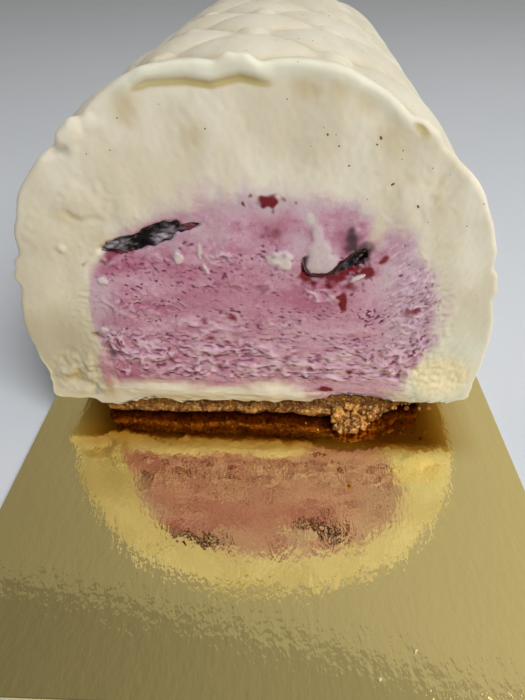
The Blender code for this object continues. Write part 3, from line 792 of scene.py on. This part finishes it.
def vanilla_point(vert, layers, i, row):
    """The whole vanilla piece: pocket wall, cut face, melted edge, moulded skin and far end."""
    if row < POCKET_ROWS:
        inner = core_outline[i]
        return on_card(inner.x, LOG_END - CORE_FAR_WALL, inner.y)
    row -= POCKET_ROWS
    if row <= FACE_ROWS:
        return vanilla_face_point(vert, layers, i, row / FACE_ROWS)
    row -= FACE_ROWS
    paint(vert, layers, inner=1)
    radius = edge_radius(i)
    if row <= RIM_ROWS:
        turn = math.pi / 2 * row / RIM_ROWS
        point = skin_point(i, FACE_Y, radius * (1 - math.sin(turn)))
        x, z = point
        lip, groove, edge = lip_shape(x, z, 0)
        raised = max(LIP_HEIGHT * lip, EDGE_HEIGHT * edge)
        height, shown = face_look(x, z, (point - core_outline[i]).length)
        # Painted light on the lip and the edge as they round over
        melt = max(shown["melt"], 0.5 * lip, 0.6 * edge)
        paint(vert, layers, berry=shown["berry"], dim=shown["dim"], melt=melt)
        y = FACE_Y + radius * (1 - math.cos(turn)) - (height + raised) * math.cos(turn)
        return on_card(x, y, z + 0.5 * raised * math.sin(2 * turn))
    row -= RIM_ROWS
    if row <= LENGTH_ROWS:
        y = FACE_Y + radius + (row / LENGTH_ROWS) ** LENGTH_CROWDING * (LOG_END - FACE_Y - radius)
        left = min(LOG_FAR_RIM, LOG_END - y)
        inward = LOG_FAR_RIM - math.sqrt(max(0, 2 * LOG_FAR_RIM * left - left * left))
        x, z = far_rim_point(i, y, inward)
        # Painted shade in the valleys between the pillows
        valley = 0.4 * smooth(0.9, 1.8, quilt(i, y))
        paler = 0.15 * smooth(3, 1, y - FACE_Y) * smooth(-26, -18, x) * smooth(30, 45, z)
        paint(vert, layers, butter=valley, dim=SKIN_DIM, melt=SKIN_MELT + paler)
        if i >= AROUND_ARCH or i == 0:
            from_slab = abs(x - BISCUIT_X)
            over_slab = smooth(43, 36, from_slab)
            # Painted shade on the underside: yellower, greyer and darker over the slab, where little light
            # gets in
            shade = 0.4 * smooth(0.0, 2.0, y - FACE_Y) * smooth(42, 34, from_slab)
            paint(vert, layers, bruise=shade, dim=0.15 + 0.4 * over_slab, butter=0.3 + 0.5 * over_slab)
        return on_card(x, y, z)
    share = (row - LENGTH_ROWS) / END_ROWS
    rim = far_rim_point(i, LOG_END, LOG_FAR_RIM)
    point = rim.lerp(log_axis, share)
    frost = 0.15 * wave(point.x, 0, point.y, 4, 63) * min(1, 4 * share)
    return on_card(point.x, LOG_END - abs(frost) - 0.2 * (1 - share), point.y)


def build_log_part(rows, place, border_row):
    """A tube whose vertices carry what the cut face shows, with a hard edge at the border."""
    bm = bmesh.new()
    layers = {name: bm.verts.layers.float.new(name) for name in FACE_LAYERS}
    hard = bm.verts.layers.int.new("border")

    def place_and_mark(vert, i, row):
        vert[hard] = int(row == border_row)
        return place(vert, layers, i, row)

    add_tube(bm, AROUND, rows, place_and_mark)
    for edge in bm.edges:
        edge.smooth = not all(vert[hard] for vert in edge.verts)
    return bm


# How the two ice creams are coloured, from their grounds up. The berry's look goes on the vanilla's where
# the face is berry, and dark cherry skin, painted shade and juice go over both.
ICE_CREAM_COATS = (
    ("berry", "cloud", (0.36, 0.62, 1), "#cda2b4"),
    ("berry", "lilac", (0, 1, 0.75), "#b594a8", "#d4bfc8", "cloud"),
    ("berry", "speckle", (0.52, 0.72, 0.7), "#dcbac8"),
    ("berry", "speckle", (0.44, 0.3, 0.6), "#99536f"),
    ("berry", "rich", None, "#96456a", "#c2738f", "speckle"),
    # painted highlight and painted light, then painted shade in the pits and the gaps
    ("berry", "crest", (0, 1, 0.75), "#dfc5d2"),
    ("berry", "pit", None, "#823e60"),
    ("berry", "milk", (0, 0.8, 0.85), "#cbb8be"),
    ("berry", "milk", (0.8, 0.95, 0.8), "#d6cac4"),
    ("vanilla", "swirl", (0.38, 0.64, 1), "#e7dfcb"),
    ("vanilla", "cloud", (0.6, 0.8, 0.4), "#d6c79f"),
    # painted shade, yellowish
    ("vanilla", "butter", (0, 0.7, 1), "#cab685"),
    ("vanilla", "butter", (0.7, 1, 0.8), "#d0c17a"),
    # darker: the moulded skin's own dull tone, and painted shade on the lower left and the underside
    ("vanilla", "dim", (0, 1, 0.6), "#a99a78"),
    # paler: the moulded skin's own paleness, and painted light on the lip, the edge and the lower right
    ("vanilla", "melt", (0, 1, 0.7), "#dfe3d0"),
    # painted highlight on the icy corner
    ("vanilla", "ice", (0, 1, 0.65), "#f2e0b4"),
    ("vanilla", "berry", None, "berry"),
    # dark cherry skin and painted shade
    ("vanilla", "bruise", (0, 1, 1), "#35202e", "#66454f", "cloud"),
    ("vanilla", "juice", (0, 0.75, 1), "#34020c", "#9c1a2c", "speckle"),
)


def ice_cream(name, grit):
    """Material of both parts of the log, because the knife smeared each over the other.

    Its swirls are 7 to 20 mm, its clouds 3 to 6 mm, and its speckle, 0.8 mm, is the ice's grit.
    """
    material, tree, place = new_material(name)
    seen = {layer: node(tree, "Attribute", attribute_name=layer, out="Fac") for layer in FACE_LAYERS}
    stretched = node(tree, "Mapping", {"Vector": place, "Scale": per_mm(7, 20, 13)})
    seen["swirl"] = node(tree, "TexNoise", {"Vector": stretched, "Scale": 1.0, "Detail": 3.0})
    flat = node(tree, "Mapping", {"Vector": place, "Scale": per_mm(6, 6, 2.6)})
    seen["cloud"] = node(tree, "TexNoise", {
        "Vector": flat, "Scale": 1.0, "Detail": 4.0, "Roughness": 0.6,
    })
    speckle = node(tree, "TexNoise", {
        "Vector": place, "Scale": per_mm(0.8), "Detail": 4.0, "Roughness": 0.7,
    })
    seen["speckle"] = speckle
    looks = {"berry": srgb("#bd8399"), "vanilla": srgb("#dcd2ba")}
    add_coats(tree, seen, looks, ICE_CREAM_COATS)
    wet = node(tree, "MapRange", {
        "Value": speckle, "From Min": 0.35, "From Max": 0.65,
    }, interpolation_type="SMOOTHSTEP")
    surface = node(tree, "BsdfPrincipled", {
        "Base Color": looks["vanilla"],
        "Roughness": node(tree, "MapRange", {"Value": wet, "To Min": 0.62, "To Max": 0.44}),
        "IOR": 1.36,
        "Subsurface Weight": node(tree, "Math", {0: seen["inner"], 1: 0.5}, operation="MULTIPLY"),
        "Subsurface Radius": (1.0, 0.62, 0.4),
        "Subsurface Scale": 1.0 * MM,
        "Normal": node(tree, "Bump", {"Height": speckle, "Distance": grit * MM}),
    })
    node(tree, "OutputMaterial", {"Surface": surface})
    return material


# Vanilla ice cream, melted smooth by the knife and frozen again: a creamy, satin skin that lets a
# little light in, with a fine icy grit.
vanilla_stuff = ice_cream("vanilla_ice_cream", 0.03)
vanilla_rows = POCKET_ROWS + FACE_ROWS + RIM_ROWS + LENGTH_ROWS + END_ROWS + 1
bm = build_log_part(vanilla_rows, vanilla_point, POCKET_ROWS)
finish_piece("vanilla_log", bm, vanilla_stuff, "vanilla", "vanilla_ice_cream")


# ---- Berry core --------------------------------------------------------------------------------
# A bar of berry ice cream frozen into the middle. Its open, icy crumb tore under the knife, so its
# face is full of long pits, and the vanilla is smeared over its top edge.

DISC_ROWS = 96
SPINE = (-13.0, 16.0, 29.0)  # the line that the face's rows close on: x from, x to, and z
SPINE_STEP = 0.5
SIDE_SHRINK = 0.008  # of the bar's sides towards its middle, which keeps them inside the pocket
SIDE_SETBACK = 1.5  # of where those sides start, behind the face


def berry_point(vert, layers, i, row):
    """The core's face from its middle outwards, then its hidden sides and end."""
    inner = core_outline[i]
    if row <= DISC_ROWS:
        spine_x = round(min(SPINE[1], max(SPINE[0], inner.x * 0.6)) / SPINE_STEP) * SPINE_STEP
        point = inner.lerp(Vector((spine_x, SPINE[2])), 1 - row / DISC_ROWS)
        x, z = point
        height, shown = face_look(x, z, -(point - inner).length)
        paint(vert, layers, **shown)
        return on_card(x, FACE_Y - height, z)
    point = inner.lerp(Vector((CORE_X, SPINE[2])), SIDE_SHRINK)
    y = FACE_Y + SIDE_SETBACK if row == DISC_ROWS + 1 else LOG_END - CORE_FAR_WALL - GAP
    return on_card(point.x, y, point.y)


# Berry ice cream: the same stuff as vanilla, whipped with fruit, and icier, so its grit is coarser.
berry_stuff = ice_cream("berry_ice_cream", 0.12)
bm = build_log_part(DISC_ROWS + 3, berry_point, DISC_ROWS)
finish_piece("berry_bar", bm, berry_stuff, "berry", "berry_core")


# ---- Cherries ----------------------------------------------------------------------------------
# Two stoned cherries in the berry bar, cut open by the knife. The left one is a dark, wrinkled
# lens, and the right one a cup of skin round a tongue of cream, torn open at its right end.

# Cherry flesh soaked in juice, frozen: almost black, glossy and wet, red where it is thin, grey where
# melted cream ran over it, and painted grey on the crests of its wrinkles as a highlight.
cherry_stuff, tree, place = new_material("juicy_cherry_flesh")
veil = node(tree, "Attribute", attribute_name="veil", out="Fac")
thin = node(tree, "Attribute", attribute_name="thin", out="Fac")
flesh = node(tree, "TexNoise", {
    "Vector": place, "Scale": per_mm(1.1), "Detail": 4.0, "Roughness": 0.65,
})
looks = {"flesh": srgb("#030102")}
add_coats(tree, {"flesh": flesh, "thin": thin, "veil": veil}, looks, (
    ("flesh", "flesh", None, "#1c0c14"),
    ("flesh", "thin", None, "#4c0a18", "#9c3340", "flesh"),
    ("flesh", "veil", None, "#524854", "#c2b6bc", "flesh"),
))
surface = node(tree, "BsdfPrincipled", {
    "Base Color": looks["flesh"], "Roughness": 0.36, "IOR": 1.34,
    "Normal": node(tree, "Bump", {"Height": flesh, "Distance": 0.15 * MM}),
})
node(tree, "OutputMaterial", {"Surface": surface})


# Half length and half height, seed, how deep the flesh's face lies, turn in degrees, and middle
LEFT_CHERRY = ((10.5, 3.4), 3, 0.55, 16.6, (-18.9, 43.4))
RIGHT_CHERRY = ((6.0, 3.6), 11, 0.5, 40, (17.2, 40.2))
WRINKLE = 0.4
BLACK_PLACES = (
    (-20.8, 42.6, 2, 1.3, 15, 1), (-26.5, 40.4, 1.6, 0.5, 10, 0.8), (19.2, 40, 1.6, 1.2, 0, 1),
)
VEILED_PLACES = (
    (-25.4, 41.9, 2.8, 1.2, 15, 1), (-16.8, 43.8, 2.8, 0.8, 22, 0.9), (-22.8, 43, 1, 0.8, 0, 0.8),
    (-14, 45.3, 2.4, 0.5, 15, 0.5), (17.9, 43.4, 0.9, 1.9, 20, 0.95), (15.5, 39.2, 1.2, 0.4, 30, 0.4),
)
RED_PLACES = (
    (-27.9, 40.3, 0.9, 0.7, 0, 1), (-11.2, 45.9, 1.3, 0.8, 10, 0.9), (20.4, 38.5, 1, 1, 0, 0.8),
    (-24, 40.6, 3, 0.3, 6, 0.8), (16.6, 37, 2.2, 0.7, 20, 0.9),
)


def flesh_skin(vert, layers, half, seed, deep, turn, middle):
    """A point of a flat cake of wrinkled cherry that lies in a hollow of the cut face."""
    dx, dy, dz = vert.co
    angle = math.radians(turn)
    across, up = half[0] * dx, half[1] * dz
    x = middle[0] + across * math.cos(angle) - up * math.sin(angle)
    z = middle[1] + up * math.cos(angle) + across * math.sin(angle)
    fold = 1 - 2.4 * abs(wave(across + 0.6 * up, up, 0, (2.3, 1.1, 1), seed))
    fold += 0.5 * (1 - 2.4 * abs(wave(across, up, 0, (1.0, 0.7, 1), seed + 3)))
    fold -= 1.6 * mark(BLACK_PLACES, x, z, 0.6)
    out = WRINKLE * (fold - 0.5) - deep - 0.9 * smooth(0.8, 1, math.hypot(dx, dz))
    marbled = 0.75 + 1.5 * wave(across, up, 0, (1.1, 0.6, 1), seed + 5)
    # Painted highlight: grey on the crests of the folds, and grey cream veils over some places
    grey = 0.15 * smooth(0.7, 1.4, fold) + marbled * mark(VEILED_PLACES, x, z, 0.8)
    grey = max(0, grey - mark(BLACK_PLACES, x, z, 0.7))
    paint(vert, layers, veil=grey, thin=mark(RED_PLACES, x, z, 0.6))
    return on_card(x, FACE_Y - out if dy < 0 else FACE_Y + 1.6 + 0.9 * dy, z)


def new_flesh():
    """An empty mesh, and the layers that its material colours: grey with cream and with painted highlight,
    and thin and red.
    """
    bm = bmesh.new()
    return bm, {name: bm.verts.layers.float.new(name) for name in ("veil", "thin")}


def add_flesh(bm, layers, cherry):
    """Adds one cherry's cake of flesh."""
    for vert in bmesh.ops.create_icosphere(bm, subdivisions=6, radius=1)["verts"]:
        vert.co = flesh_skin(vert, layers, *cherry)


bm, layers = new_flesh()
add_flesh(bm, layers, LEFT_CHERRY)
finish_piece("left_cherry_flesh", bm, cherry_stuff, "cherry", "left_cherry")

CUP_LINE = [Vector(point) for point in (
    (8.7, 40.6), (8.8, 39.4), (9.2, 38.0), (10.1, 37.0), (11.4, 36.7), (12.9, 36.9), (14.2, 37.8),
    (15.4, 39.0), (16.6, 40.2), (17.6, 41.0),
)]
CUP_STEPS = 70
CUP_SIDES = 12
cup_path = even_steps(CUP_LINE, CUP_STEPS)


def cup_skin(vert, i, row):
    """The cup's skin seen edge on: a thin, uneven band that follows the cup's line."""
    point = cup_path[row]
    ahead = cup_path[min(CUP_STEPS, row + 1)] - cup_path[max(0, row - 1)]
    side = Vector((-ahead.y, ahead.x)).normalized()
    ends = math.sin(math.pi * (0.04 + 0.92 * row / CUP_STEPS)) ** 0.5
    half = (0.24 + 0.25 * wave(row, 0, 0, 7, 3) + 0.12 * smooth(20, 8, row)) * ends
    angle = math.tau * i / CUP_SIDES
    grey = 0.7 * smooth(0.5, -0.5, math.cos(angle)) * smooth(24, 12, row)
    paint(vert, layers, veil=grey, thin=0.25)
    point = point + side * half * math.cos(angle)
    return on_card(point.x, FACE_Y + 0.15 - 0.6 * ends * math.sin(angle), point.y)


bm, layers = new_flesh()
add_tube(bm, CUP_SIDES, CUP_STEPS + 1, cup_skin)
add_flesh(bm, layers, RIGHT_CHERRY)
finish_piece("right_cherry_flesh", bm, cherry_stuff, "cherry", "right_cherry")


# ---- Vanilla seeds -----------------------------------------------------------------------------
# Specks of vanilla pod ground into the vanilla: a few dozen show on the cut face, and more are
# strewn through the moulded skin. Each is a tiny black or brown flake.

SEED_PLACES = (  # x, z and radius
    (-7.6, 62.5, 0.186), (5.2, 66.9, 0.1364), (-27.2, 58.3, 0.124), (-23.3, 58.9, 0.155),
    (11.7, 61.8, 0.248), (13, 61.8, 0.155), (13.6, 60, 0.186), (9.2, 59.9, 0.124),
    (11, 62.9, 0.124), (20.1, 61.3, 0.31), (19.6, 60.3, 0.186), (15.5, 56.8, 0.217),
    (22.9, 53.9, 0.279), (27.6, 50.2, 0.2604), (29, 56.6, 0.124), (19, 51.3, 0.124),
    (23.8, 58, 0.1364), (23.8, 59.4, 0.124), (32, 55.5, 0.124), (38.5, 50.7, 0.155),
    (36.5, 46.7, 0.1364), (29.8, 47.3, 0.155), (17.7, 69, 0.124), (-21.4, 63.9, 0.124),
    (6.6, 72, 0.155), (-14.6, 66, 0.093), (-33, 40, 0.093), (-36, 31, 0.1116),
    (41, 33, 0.1116),
)
SKIN_SEEDS = 260
SKIN_SEED_RADII = (0.07, 0.17)

# Ground vanilla pod: matt flakes, black to brown from one to the next.
pod, tree, place = new_material("ground_vanilla_pod")
flakes = node(tree, "TexNoise", {"Vector": place, "Scale": per_mm(4), "Detail": 2.0})
looks = {"pod": srgb("#15100a")}
add_coats(tree, {"flakes": flakes}, looks, (("pod", "flakes", None, "#8a7040"),))
surface = node(tree, "BsdfPrincipled", {"Base Color": looks["pod"], "Roughness": 0.7})
node(tree, "OutputMaterial", {"Surface": surface})


def add_seed(bm, draw, place, outward, radius):
    """Adds a flattened flake of pod that lies on the surface."""
    verts = bmesh.ops.create_icosphere(bm, subdivisions=1, radius=radius * MM)["verts"]
    flat = Vector((draw.uniform(0.6, 1.5), draw.uniform(0.6, 1.0), 0.35))
    bmesh.ops.scale(bm, vec=flat, verts=verts)
    turn = outward.to_track_quat("Z", "Y").to_matrix() @ Matrix.Rotation(draw.uniform(0, 3), 3, "Z")
    bmesh.ops.rotate(bm, matrix=turn, verts=verts)
    bmesh.ops.translate(bm, vec=place, verts=verts)


draw = random.Random(8)
bm = bmesh.new()
for x, z, radius in SEED_PLACES:
    place = on_card(x, FACE_Y - face_look(x, z, 20)[0], z)
    add_seed(bm, draw, place, Vector((0, -1, 0)), radius)
for _ in range(SKIN_SEEDS):
    i = draw.randrange(10, AROUND_ARCH - 10)
    y = draw.uniform(FACE_Y + 3, LOG_END - 4)
    x, z = skin_point(i, y)
    outward = Vector((x, 0, z - LOG_SPRING)).normalized()
    add_seed(bm, draw, on_card(x, y, z), outward, draw.uniform(*SKIN_SEED_RADII))
finish_piece("vanilla_seeds", bm, pod, "vanilla")


# ---- Crumbs on the card ------------------------------------------------------------------------
# Loose crumbs that fell from the broken biscuit, and two flecks of cream off the knife.

LOOSE_CRUMBS = ((19.2, -63.5, 0.45), (13.5, -48.6, 0.35), (24.5, -48.0, 0.3), (11.0, -46.5, 0.3))
CREAM_FLECKS = ((26.1, -95.5, 0.35), (20.3, -99.7, 0.3))


def add_lying(bm, draw, places):
    """Adds crumbs that lie on the card at x, y with a radius."""
    for x, y, radius in places:
        def here(draw, size, x=x, y=y):
            return on_card(x - LOG_SKEW * (y - FACE_Y), y, size * 0.8)
        scatter_crumbs(bm, draw, 1, (radius, radius), here)


draw = random.Random(21)
bm = bmesh.new()
add_lying(bm, draw, LOOSE_CRUMBS)
finish_piece("loose_crumbs", bm, crumb, "biscuit")
bm = bmesh.new()
add_lying(bm, draw, CREAM_FLECKS)
finish_piece("cream_flecks", bm, vanilla_stuff, "vanilla")


# ---- Studio ------------------------------------------------------------------------------------
# A pale worktop, a soft box overhead and a wide fill from the front, in a mid-grey room that the
# foil mirrors. The camera stands where the log was looked at from.

FLOOR_HALF = 1500
WALL_LIGHT, CEILING_LIGHT = (0.6, 1.28), (0.42, 0.96)  # strength at the room's left and right
BEHIND_LIGHT = 0.35  # behind the camera
CEILING_SIDE = (-0.234, -1.0, 0.451)  # points to the ceiling's side of the room's upper edge
worktop, tree, place = new_material("pale_laminate_worktop")
clouds = node(tree, "TexNoise", {"Vector": place, "Scale": per_mm(60)})
looks = {"pale": srgb("#cfd4dc")}
add_coats(tree, {"clouds": clouds}, looks, (("pale", "clouds", None, "#d6dae0"),))
surface = node(tree, "BsdfPrincipled", {"Base Color": looks["pale"], "Roughness": 0.55})
node(tree, "OutputMaterial", {"Surface": surface})
bm = bmesh.new()
bmesh.ops.create_grid(bm, x_segments=4, y_segments=4, size=FLOOR_HALF * MM)
floor = new_object("worktop", bm, worktop)


def soft_box(name, place, target, size, watts, colour):
    """A rectangular area light at a place in millimetres, turned to a target."""
    light = bpy.data.lights.new(name, "AREA")
    light.shape = "RECTANGLE"
    light.size, light.size_y = (side * MM for side in size)
    light.energy = watts
    light.color = srgb(colour)[:3]
    box = bpy.data.objects.new(name, light)
    place, target = Vector(place) * MM, Vector(target) * MM
    turn = (target - place).to_track_quat("-Z", "Y")
    box.matrix_world = Matrix.Translation(place) @ turn.to_matrix().to_4x4()
    bpy.context.scene.collection.objects.link(box)


soft_box("overhead_soft_box", (80, -160, 800), (0, 0, 30), (700, 450), 0.85, "#f3f8ff")
soft_box("front_soft_box", (400, -520, 680), (0, -30, 30), (450, 450), 6.6, "#ffffff")

world = bpy.data.worlds.new("grey_room")
world.use_nodes = True
bpy.context.scene.world = world
tree = world.node_tree
tree.nodes.clear()
towards = node(tree, "TexCoord", out="Generated")
right_part = node(tree, "SeparateXYZ", {"Vector": towards}, out="X")
wall, ceiling = (
    node(tree, "MapRange", {
        "Value": right_part, "From Min": -0.5, "From Max": 0.5, "To Min": at_left, "To Max": at_right,
    })
    for at_left, at_right in (WALL_LIGHT, CEILING_LIGHT)
)
over_edge = node(tree, "VectorMath", {0: towards, 1: CEILING_SIDE}, out="Value", operation="DOT_PRODUCT")
is_ceiling = node(tree, "MapRange", {"Value": over_edge, "From Min": -0.003, "From Max": 0.003})
brightness = node(tree, "Mix", {"Factor": is_ceiling, "A": wall, "B": ceiling}, data_type="FLOAT")
ahead = node(tree, "SeparateXYZ", {"Vector": towards}, out="Y")
is_behind = node(tree, "MapRange", {"Value": ahead, "From Min": 0.1, "From Max": -0.3})
brightness = node(tree, "Mix", {"Factor": is_behind, "A": brightness, "B": BEHIND_LIGHT}, data_type="FLOAT")
glow = node(tree, "Background", {"Color": srgb("#b3b0aa"), "Strength": brightness})
node(tree, "OutputWorld", {"Surface": glow})

# The camera's turn follows from where the card's long edges run together in its frame.
CAMERA_PLACE = (1.7, -139.4, 89.1)
LENS = 29.57
LENGTH_AXIS_SEEN = Vector((24.95, 419.0, 575.0)).normalized()  # +Y as right, up and ahead

up_seen = Vector((0, 1, -LENGTH_AXIS_SEEN.y / LENGTH_AXIS_SEEN.z)).normalized()
right_seen = up_seen.cross(LENGTH_AXIS_SEEN)
right, up, forward = [
    Vector((right_seen[k], LENGTH_AXIS_SEEN[k], up_seen[k])) for k in range(3)
]
camera = bpy.data.cameras.new("photo_view")
camera.lens = LENS
camera.sensor_width = 36
camera.clip_start = 0.005
viewer = bpy.data.objects.new("photo_view", camera)
viewer.matrix_world = Matrix((
    (right.x, up.x, -forward.x, CAMERA_PLACE[0] * MM),
    (right.y, up.y, -forward.y, CAMERA_PLACE[1] * MM),
    (right.z, up.z, -forward.z, CAMERA_PLACE[2] * MM),
    (0, 0, 0, 1),
))
bpy.context.scene.collection.objects.link(viewer)
bpy.context.scene.camera = viewer
bpy.context.scene.view_settings.view_transform = "Standard"
